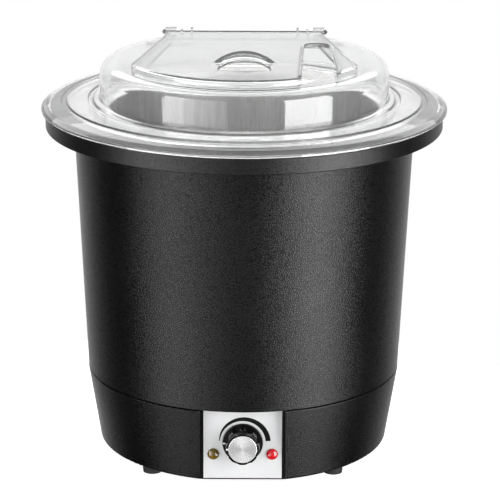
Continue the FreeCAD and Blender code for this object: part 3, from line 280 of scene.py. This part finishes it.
def fibre_wool(name, color):
    """Felted glass fibre."""
    tree = Tree(name)
    shader = tree.shader(color, 0.95, 0.0, Sheen_Weight=0.4)
    strands = tree.noise(420.0, 6.0, 0.7)
    tree.link(tree.bump(strands, 1.0, 0.001), shader.inputs["Normal"])
    tree.link(tree.tint(strands, [c * 0.7 for c in color], color), shader.inputs["Base Color"])
    return tree.material


def printed_metal(name, color):
    """The panel's silver-white face: satin, with a very fine metallic grain."""
    tree = Tree(name)
    shader = tree.shader(color, 0.38, 0.35)
    flakes = tree.noise(1600.0, 2.0)
    tree.link(tree.bump(flakes, 0.25, 0.00002), shader.inputs["Normal"])
    tree.link(tree.tint(flakes, [c * 0.93 for c in color], color), shader.inputs["Base Color"])
    tree.link(tree.spread(tree.noise(25.0), 0.33, 0.44), shader.inputs["Roughness"])
    return tree.material


def make_materials():
    """One material for each slot of the record."""
    cap_low, cap_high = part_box("knob_cap")
    cap_centre = tuple((cap_low + cap_high) / 2)
    return {
        "shell_plastic": grained_plastic("shell_plastic", BLACK, 0.31, 560.0, 0.00009),
        "base_plastic": grained_plastic("base_plastic", BLACK, 0.31, 640.0, 0.00008),
        "collar_plastic": grained_plastic("collar_plastic", BLACK, 0.34, 800.0, 0.00006, COLLAR_SHINE),
        "foot_rubber": plain_plastic("foot_rubber", (0.012, 0.012, 0.012), 0.7),
        "zinc_steel": dull_metal("zinc_steel", (0.62, 0.63, 0.64), 0.34),
        "well_steel": upright_brushed("well_steel", (0.6, 0.6, 0.6), 0.3),
        "pot_steel": upright_brushed("pot_steel", (0.88, 0.875, 0.87), 0.26),
        "glass_fibre": fibre_wool("glass_fibre", (0.82, 0.78, 0.62)),
        "cast_aluminium": dull_metal("cast_aluminium", (0.7, 0.71, 0.72), 0.45),
        "element_steel": dull_metal("element_steel", (0.22, 0.2, 0.19), 0.42),
        "white_ceramic": plain_plastic("white_ceramic", (0.82, 0.8, 0.75), 0.25),
        "dark_phenolic": plain_plastic("dark_phenolic", (0.03, 0.02, 0.018), 0.35),
        "brass": dull_metal("brass", (0.72, 0.5, 0.2), 0.3),
        "panel_metal": printed_metal("panel_metal", (0.66, 0.665, 0.67)),
        "copper_bulb": dull_metal("copper_bulb", (0.75, 0.36, 0.22), 0.3),
        "amber_lens": lens_plastic("amber_lens", (0.13, 0.08, 0.006), 0.05),
        "red_lens": lens_plastic("red_lens", (0.5, 0.004, 0.01), 0.15),
        "wire_brown": plain_plastic("wire_brown", (0.12, 0.05, 0.03), 0.45),
        "wire_blue": plain_plastic("wire_blue", (0.03, 0.08, 0.35), 0.45),
        "knob_plastic": plain_plastic("knob_plastic", (0.003, 0.003, 0.003), 0.16, shine=0.3),
        "white_mark": plain_plastic("white_mark", (0.85, 0.85, 0.85), 0.4),
        "spun_aluminium": spun_metal("spun_aluminium", (0.88, 0.88, 0.88), 0.26, cap_centre, "Y"),
        "pin_steel": dull_metal("pin_steel", (0.42, 0.42, 0.43), 0.25),
        "clear_lid": clear_plastic("clear_lid", (0.915, 0.92, 0.92), 1.52, 0.98),
        "clear_flap": clear_plastic("clear_flap", (0.82, 0.825, 0.825), 1.4, 0.96),
    }


def dress_nodes(materials):
    """Gives every CAD node the material of its slot."""
    for part in frame["record"]["subparts"]:
        mesh = NODES[part["node"]].data
        mesh.materials.clear()
        mesh.materials.append(materials[part["material_slot"]])


# ------------------------------------------------------------------ new pieces


def new_object(name, data):
    """An object for a mesh, lamp or camera, put in the scene."""
    thing = bpy.data.objects.new(name, data)
    bpy.context.scene.collection.objects.link(thing)
    return thing


def blank_object(name, build):
    """An object with the mesh that a bmesh builder makes, its faces turned outwards."""
    mesh = bpy.data.meshes.new(name)
    bm = bmesh.new()
    build(bm)
    bmesh.ops.recalc_face_normals(bm, faces=bm.faces)
    bm.to_mesh(mesh)
    bm.free()
    return new_object(name, mesh)


def mesh_piece(name, build, material, body):
    """A new piece from a bmesh builder, riding on a body."""
    piece = blank_object(name, build)
    piece.data.materials.append(material)
    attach(piece, body)
    return piece


def rounded(corners, steps=8):
    """A line through corners (a, b, radius), with each corner of a radius turned into an arc."""
    line = []
    for index, (a, b, radius) in enumerate(corners):
        here = Vector((a, b))
        if not radius:
            line.append(here)
            continue
        back = (Vector(corners[index - 1][:2]) - here).normalized()
        ahead = (Vector(corners[(index + 1) % len(corners)][:2]) - here).normalized()
        half = back.angle(ahead) / 2
        centre = here + (back + ahead).normalized() * (radius / math.sin(half))
        start = here + back * (radius / math.tan(half)) - centre
        end = here + ahead * (radius / math.tan(half)) - centre
        first = math.atan2(start.y, start.x)
        sweep = (math.atan2(end.y, end.x) - first + math.pi) % (2 * math.pi) - math.pi
        for step in range(steps + 1):
            angle = first + sweep * step / steps
            line.append(centre + Vector((math.cos(angle), math.sin(angle))) * radius)
    return line


def lathe(bm, profile, segments=384):
    """A closed profile of (radius, height) points turned about the kettle's axis."""
    rings = []
    for point in profile:
        if point.x < 1e-7:
            rings.append([bm.verts.new((0, 0, point.y))] * segments)
            continue
        ring = []
        for segment in range(segments):
            angle = 2 * math.pi * segment / segments
            x = math.cos(angle) * point.x
            y = math.sin(angle) * point.x
            ring.append(bm.verts.new((x, y, point.y)))
        rings.append(ring)
    for first, second in zip(rings, rings[1:] + rings[:1]):
        for segment in range(segments):
            after = (segment + 1) % segments
            corners = (first[segment], first[after], second[after], second[segment])
            distinct = list(dict.fromkeys(corners))
            if len(distinct) > 2:
                bm.faces.new(distinct)


def prism(bm, outline, low, high):
    """A closed outline of (x, y) points, made solid between two heights."""
    bottom = [bm.verts.new((point.x, point.y, low)) for point in outline]
    top = [bm.verts.new((point.x, point.y, high)) for point in outline]
    bm.faces.new(bottom)
    bm.faces.new(list(reversed(top)))
    for index in range(len(outline)):
        after = (index + 1) % len(outline)
        bm.faces.new((bottom[index], bottom[after], top[after], top[index]))


def rod_along(bm, points, radius, sides=16):
    """A round rod through points that lie at one height, with closed ends."""
    rings = []
    for index, point in enumerate(points):
        before = points[max(index - 1, 0)]
        after = points[min(index + 1, len(points) - 1)]
        across = (after - before).cross(Vector((0, 0, 1))).normalized()
        ring = []
        for side in range(sides):
            angle = 2 * math.pi * side / sides
            offset = across * math.cos(angle) + Vector((0, 0, math.sin(angle)))
            ring.append(bm.verts.new(point + offset * radius))
        rings.append(ring)
    for first, second in zip(rings, rings[1:]):
        for side in range(sides):
            after = (side + 1) % sides
            bm.faces.new((first[side], first[after], second[after], second[side]))
    bm.faces.new(rings[0])
    bm.faces.new(list(reversed(rings[-1])))


def finished_mesh(blank, scraps=()):
    """The blank's mesh with its modifiers applied; the blank and the scraps are taken away."""
    worked = blank.evaluated_get(bpy.context.evaluated_depsgraph_get())
    ready = bpy.data.meshes.new_from_object(worked)
    for scrap in (blank, *scraps):
        bpy.data.objects.remove(scrap)
    return ready


def combine(blank, operation, other):
    """Cuts another object from the blank, or joins it on."""
    step = blank.modifiers.new(other.name, "BOOLEAN")
    step.operation = operation
    step.solver = "EXACT"
    step.object = other


def moulding(name, mesh, slot, body, node):
    """A clear moulding that stands in place of a CAD node."""
    mesh.materials.clear()
    mesh.materials.append(MATERIALS[slot])
    piece = new_object(name, mesh)
    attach(piece, body)
    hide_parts(node)
    return piece


# ------------------------------------------------------------------ the clear lid

LID_LOW, LID_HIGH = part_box("lid_dome")
LID_EDGE = (LID_HIGH.x - LID_LOW.x) / 2
LID_REST = LID_LOW.z
LID_SHEET = 0.0026
CROWN = LID_REST + 0.0428
BAND = LID_REST + 0.0084
GROOVE_RADIUS = 0.135
WALL_RADIUS = 0.127
STEP_RADIUS = 0.1572
SHOULDER = 0.012
LEDGE_START = 0.0875
LEDGE_HEIGHT = CROWN - 0.0066
MOUTH_FRONT = 0.098
MOUTH_CORNER = 0.086
MOUTH_REAR = (0.065, 0.066)
MOUTH_FRONT_ROUND = 0.016
MOUTH_REAR_ROUND = 0.012
MOUTH_DEPTH = 0.008
CUT_HEIGHT = 0.02
POST_FACES = (0.062, 0.072)
POST_RADIUS = 0.0042
POST_SINK = 0.001
PIN_LOW, PIN_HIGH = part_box("hinge_pin")
PIN_LINE = ((PIN_LOW.y + PIN_HIGH.y) / 2, (PIN_LOW.z + PIN_HIGH.z) / 2)


def lid_outside():
    """The lid's outer section as corners (radius, height, rounding), filled in to the axis."""
    return [
        (0.0, CROWN, 0),
        (WALL_RADIUS, CROWN, SHOULDER),
        (WALL_RADIUS, BAND + 0.0012, 0.0026),
        (GROOVE_RADIUS - 0.0028, BAND + 0.0006, 0.0015),
        (GROOVE_RADIUS, BAND - 0.0010, 0.0015),
        (GROOVE_RADIUS + 0.0028, BAND + 0.0004, 0.0015),
        (STEP_RADIUS - 0.0012, BAND + 0.0002, 0.0012),
        (STEP_RADIUS - 0.0002, BAND - 0.0013, 0.0006),
        (STEP_RADIUS + 0.0040, BAND - 0.0012, 0.0030),
        (LID_EDGE - 0.0052, LID_REST + 0.0050, 0.0090),
        (LID_EDGE, LID_REST + 0.0016, 0.0010),
        (LID_EDGE, LID_REST, 0),
        (0.0, LID_REST, 0),
    ]


def lid_inside():
    """The hollow under the lid, one sheet in from its outside."""
    under = BAND - LID_SHEET
    return [
        (0.0, CROWN - LID_SHEET, 0),
        (WALL_RADIUS - LID_SHEET, CROWN - LID_SHEET, SHOULDER - LID_SHEET),
        (WALL_RADIUS - LID_SHEET, under + 0.0006, 0.0050),
        (GROOVE_RADIUS - 0.0028, under, 0.0030),
        (GROOVE_RADIUS, under - 0.0010, 0.0030),
        (GROOVE_RADIUS + 0.0028, under, 0.0030),
        (STEP_RADIUS + 0.0030, under - 0.0008, 0.0030),
        (LID_EDGE - 0.0080, LID_REST + 0.0026, 0.0060),
        (LID_EDGE - 0.0044, LID_REST + 0.0002, 0.0004),
        (LID_EDGE - 0.0044, LID_REST - 0.004, 0),
        (0.0, LID_REST - 0.004, 0),
    ]


def round_front(half_width, radius, turns):
    """Points of an arc about the axis, from left to right across the front."""
    reach = math.asin(half_width / radius)
    angles = [-reach + 2 * reach * turn / turns for turn in range(turns + 1)]
    return [(math.sin(angle) * radius, -math.cos(angle) * radius, 0) for angle in angles]


def mouth_outline():
    """The opening in the crown: a round front, sides that converge and a straight back."""
    front = round_front(MOUTH_CORNER - MOUTH_REAR_ROUND, MOUTH_FRONT, 40)
    wide, rear = MOUTH_REAR
    corner_y = -math.sqrt(MOUTH_FRONT**2 - MOUTH_CORNER**2)
    right = [(MOUTH_CORNER, corner_y, MOUTH_FRONT_ROUND), (wide, rear, MOUTH_REAR_ROUND)]
    left = [(-wide, rear, MOUTH_REAR_ROUND), (-MOUTH_CORNER, corner_y, MOUTH_FRONT_ROUND)]
    return rounded(front + right + left)


def block(bm, low, high):
    """A box between two corners."""
    around = ((low[0], low[1]), (high[0], low[1]), (high[0], high[1]), (low[0], high[1]))
    prism(bm, [Vector(corner) for corner in around], low[2], high[2])


def post_shape(bm, side):
    """One hinge post on the ledge: an upright block with a round head on the pin's line."""
    inner, outer = POST_FACES
    start, end = sorted((inner * side, outer * side))
    pin_y, pin_z = PIN_LINE
    foot = LEDGE_HEIGHT - POST_SINK
    block(bm, (start, pin_y - POST_RADIUS, foot), (end, pin_y + POST_RADIUS, pin_z))
    rod_along(bm, [Vector((start, pin_y, pin_z)), Vector((end, pin_y, pin_z))], POST_RADIUS, 48)


def add_lid():
    """The lid: a turned sheet with a mouth in its crown and a low ledge behind for the hinge."""
    far = (LID_EDGE, LID_EDGE, CROWN + CUT_HEIGHT)
    above_corner = (-LID_EDGE, LEDGE_START, LEDGE_HEIGHT)
    under_corner = (-LID_EDGE, LEDGE_START - LID_SHEET, LEDGE_HEIGHT - LID_SHEET)
    deep = CROWN - MOUTH_DEPTH
    lid = blank_object("lid_blank", lambda bm: lathe(bm, rounded(lid_outside(), 6)))
    hollow = blank_object("lid_hollow", lambda bm: lathe(bm, rounded(lid_inside(), 6)))
    above = blank_object("above_ledge", lambda bm: block(bm, above_corner, far))
    under = blank_object("under_ledge", lambda bm: block(bm, under_corner, far))
    mouth = blank_object("mouth_cutter", lambda bm: prism(bm, mouth_outline(), deep, far[2]))
    posts = []
    for side in (-1, 1):
        posts.append(blank_object(f"post_{side}", lambda bm, side=side: post_shape(bm, side)))
    combine(lid, "DIFFERENCE", above)
    combine(hollow, "DIFFERENCE", under)
    combine(lid, "DIFFERENCE", hollow)
    combine(lid, "DIFFERENCE", mouth)
    for post in posts:
        combine(lid, "UNION", post)
    mesh = finished_mesh(lid, (hollow, above, under, mouth, *posts))
    mesh.shade_smooth()
    mesh.set_sharp_from_angle(angle=math.radians(40))
    moulding("lid_moulding", mesh, "clear_lid", "lid", "lid_dome")


# ------------------------------------------------------------------ the clear flap

FLAP_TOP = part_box("lid_flap")[0].z + 0.0062
NOTCH_LEGS = (0.0475, 0.0805)
NOTCH_FRONT = -0.096
NOTCH_FAR = 0.030
NOTCH_TAPER = 0.005
NOTCH_CORNER = 0.011
NOTCH_SHORTER = 0.012
BEAD = 0.0013
BEAD_OUT = 0.4
BEAD_UP = 0.3
EVEN_MESH = 0.0006


def notch_bead(bm):
    """The round bead on the edge of the ladle notch."""
    left, right = NOTCH_LEGS
    out = BEAD * BEAD_OUT
    height = FLAP_TOP + BEAD * BEAD_UP
    corners = [
        (left - out, NOTCH_FRONT, 0),
        (left + NOTCH_TAPER - out, NOTCH_FAR + out, NOTCH_CORNER),
        (right - NOTCH_TAPER + out, NOTCH_FAR + out, NOTCH_CORNER),
        (right + out, NOTCH_FRONT + NOTCH_SHORTER, 0),
    ]
    path = [Vector((point.x, point.y, height)) for point in rounded(corners, 14)]
    rod_along(bm, path, BEAD)


def add_flap():
    """The flap as one even, smooth moulding, with a bead round its notch."""

    def shape(bm):
        bm.from_mesh(NODES["lid_flap"].data)
        notch_bead(bm)

    flap = blank_object("flap_blank", shape)
    even = flap.modifiers.new("even", "REMESH")
    even.mode = "VOXEL"
    even.voxel_size = EVEN_MESH
    relax = flap.modifiers.new("relax", "SMOOTH")
    relax.iterations = 5
    mesh = finished_mesh(flap)
    mesh.shade_smooth()
    moulding("flap_moulding", mesh, "clear_flap", "flap", "lid_flap")


# ------------------------------------------------------------------ the print on the panel


def scale_arc(bm):
    """The printed crescent over the knob: thin at nine o'clock and broad at three."""
    inner = KNOB_RADIUS + 0.0021
    thin = 0.0005
    broad = 0.0044
    steps = 72
    back = DIAL.y - 0.00002
    front = DIAL.y - 0.00012
    rings = []
    for step in range(steps + 1):
        share = step / steps
        angle = math.radians(176 - 172 * share)
        outer = inner + thin + (broad - thin) * math.sin(share * math.pi / 2) ** 0.8
        ray = Vector((math.cos(angle), 0, math.sin(angle)))
        ring = []
        for radius, depth in ((inner, back), (outer, back), (outer, front), (inner, front)):
            spot = ray * radius
            ring.append(bm.verts.new((DIAL.x + spot.x, depth, DIAL.z + spot.z)))
        rings.append(ring)
    for first, second in zip(rings, rings[1:]):
        for side in range(4):
            after = (side + 1) % 4
            bm.faces.new((first[side], first[after], second[after], second[side]))
    bm.faces.new(rings[0])
    bm.faces.new(list(reversed(rings[-1])))


def add_prints():
    """What is printed on the panel: only the dial's plain crescent."""
    ink = plain_plastic("panel_ink", (0.004, 0.004, 0.004), 0.45, shine=0.12)
    mesh_piece("dial_scale", scale_arc, ink, "housing")


# ------------------------------------------------------------------ stage, light and camera

FLOOR_RADIUS = 0.32
LAMP_DISTANCE = 2.0
LAMP_LOW, LAMP_HIGH = -1.3, 1.4
# Softboxes round the kettle: start and end azimuth in degrees, from the front to the right, and radiance.
SOFTBOXES = {
    "softbox_right": (31, 71, 8.0),
    "softbox_left": (-65, -47, 5.2),
    "softbox_fill_47": (-47, -39, 3.4),
    "softbox_fill_39": (-39, -31, 2.5),
    "softbox_fill_31": (-31, -22, 1.8),
    "softbox_fill_22": (-22, -13, 1.2),
}
# The studio's brightness from the front (0) to the back (1).
STUDIO = ((0.0, 0.5), (0.04, 0.4), (0.14, 0.03), (0.6, 0.02), (0.75, 0.1), (0.88, 0.55), (0.96, 1.0))
CEILING = 0.3
SEEN_THROUGH = 0.22
CAMERA_TARGET = Vector((0.0056, 0.0, 0.1806))
CAMERA_PLACE = Vector((0.0056, -2.3235, 0.8858))
CAMERA_ROLL = 0.0044
CAMERA_LENS = 195.143


def add_floor():
    """A pale round table top, a little wider than the object needs."""
    mesh = bpy.data.meshes.new("floor")
    bm = bmesh.new()
    bmesh.ops.create_circle(bm, cap_ends=True, radius=FLOOR_RADIUS, segments=128)
    bm.to_mesh(mesh)
    bm.free()
    tree = Tree("floor_white")
    shader = tree.shader((0.86, 0.86, 0.86), 0.6, Emission_Strength=0.85)
    shader.inputs["Emission Color"].default_value = (1.0, 1.0, 1.0, 1.0)
    tree.link(tree.spread(tree.noise(6.0), 0.55, 0.65), shader.inputs["Roughness"])
    unseen = tree.add("ShaderNodeBsdfTransparent")
    path = tree.add("ShaderNodeLightPath")
    mix = tree.add("ShaderNodeMixShader")
    tree.link(path.outputs["Is Glossy Ray"], mix.inputs[0])
    tree.link(shader.outputs[0], mix.inputs[1])
    tree.link(unseen.outputs[0], mix.inputs[2])
    tree.link(mix.outputs[0], tree.output.inputs["Surface"])
    mesh.materials.append(tree.material)
    floor = new_object("floor", mesh)


def add_world():
    """A white studio: bright behind the object, dim at its sides, soft from the front."""
    world = bpy.data.worlds.new("studio")
    bpy.context.scene.world = world
    world.use_nodes = True
    nodes = world.node_tree.nodes
    links = world.node_tree.links
    nodes.clear()
    output = nodes.new("ShaderNodeOutputWorld")
    place = nodes.new("ShaderNodeTexCoord")
    parts = nodes.new("ShaderNodeSeparateXYZ")
    links.new(place.outputs["Generated"], parts.inputs[0])
    ramp = nodes.new("ShaderNodeValToRGB")
    stops = ramp.color_ramp.elements
    for index, (position, level) in enumerate(STUDIO):
        stop = stops[index] if index < 2 else stops.new(position)
        stop.position = position
        stop.color = (level, level, level, 1.0)
    shift = nodes.new("ShaderNodeMapRange")
    shift.inputs["From Min"].default_value = -1.0
    shift.inputs["From Max"].default_value = 1.0
    links.new(parts.outputs["Y"], shift.inputs["Value"])
    links.new(shift.outputs[0], ramp.inputs[0])
    lift = nodes.new("ShaderNodeMapRange")
    lift.inputs["From Min"].default_value = 0.35
    lift.inputs["From Max"].default_value = 0.9
    links.new(parts.outputs["Z"], lift.inputs["Value"])
    sky = nodes.new("ShaderNodeMix")
    sky.data_type = "RGBA"
    links.new(lift.outputs[0], sky.inputs["Factor"])
    links.new(ramp.outputs[0], sky.inputs["A"])
    sky.inputs["B"].default_value = (CEILING, CEILING, CEILING, 1.0)
    soft = nodes.new("ShaderNodeBackground")
    links.new(sky.outputs["Result"], soft.inputs["Color"])
    white = nodes.new("ShaderNodeBackground")
    white.inputs["Color"].default_value = (1.0, 1.0, 1.0, 1.0)
    path = nodes.new("ShaderNodeLightPath")
    through = nodes.new("ShaderNodeMath")
    through.operation = "MULTIPLY"
    through.use_clamp = True
    links.new(path.outputs["Transmission Depth"], through.inputs[0])
    through.inputs[1].default_value = SEEN_THROUGH
    either = nodes.new("ShaderNodeMath")
    either.operation = "MAXIMUM"
    links.new(path.outputs["Is Camera Ray"], either.inputs[0])
    links.new(path.outputs["Is Transmission Ray"], either.inputs[1])
    white_share = nodes.new("ShaderNodeMath")
    white_share.operation = "MAXIMUM"
    links.new(either.outputs[0], white_share.inputs[0])
    links.new(through.outputs[0], white_share.inputs[1])
    mix = nodes.new("ShaderNodeMixShader")
    links.new(white_share.outputs[0], mix.inputs[0])
    links.new(soft.outputs[0], mix.inputs[1])
    links.new(white.outputs[0], mix.inputs[2])
    links.new(mix.outputs[0], output.inputs["Surface"])


def add_lamp(name, place, target, size, radiance):
    """A rectangular lamp at a place, facing a target."""
    lamp = bpy.data.lights.new(name, "AREA")
    lamp.shape = "RECTANGLE"
    lamp.size, lamp.size_y = size
    lamp.energy = radiance * math.pi * size[0] * size[1]
    holder = new_object(name, lamp)
    holder.location = place
    holder.rotation_euler = (target - place).to_track_quat("-Z", "Y").to_euler()
    holder.visible_camera = False


def add_lights():
    """Tall softboxes round the kettle, and one behind and above that faces the lid."""
    middle = (LAMP_LOW + LAMP_HIGH) / 2
    height = LAMP_HIGH - LAMP_LOW
    for name, (start, end, radiance) in SOFTBOXES.items():
        turn = math.radians((start + end) / 2)
        width = 2 * LAMP_DISTANCE * math.tan(math.radians(end - start) / 2)
        place = Vector((math.sin(turn) * LAMP_DISTANCE, -math.cos(turn) * LAMP_DISTANCE, middle))
        add_lamp(name, place, Vector((0, 0, middle)), (width, height), radiance)
    add_lamp("softbox_back", Vector((0, 1.75, 1.65)), Vector((0, 0, 0.35)), (3.2, 1.0), 1.7)


def add_camera():
    """The camera stands in front and above, and looks down a little."""
    camera_data = bpy.data.cameras.new("camera")
    camera_data.lens = CAMERA_LENS
    camera_data.sensor_width = 36.0
    camera = new_object("camera", camera_data)
    camera.location = CAMERA_PLACE
    facing = (CAMERA_TARGET - CAMERA_PLACE).to_track_quat("-Z", "Y").to_matrix().to_4x4()
    roll = Matrix.Rotation(CAMERA_ROLL, 4, "Z")
    camera.matrix_world = Matrix.Translation(CAMERA_PLACE) @ facing @ roll
    bpy.context.scene.camera = camera


bpy.context.scene.view_settings.view_transform = "Standard"
MATERIALS = make_materials()
dress_nodes(MATERIALS)
add_lid()
add_flap()
add_prints()
add_floor()
add_world()
add_lights()
add_camera()
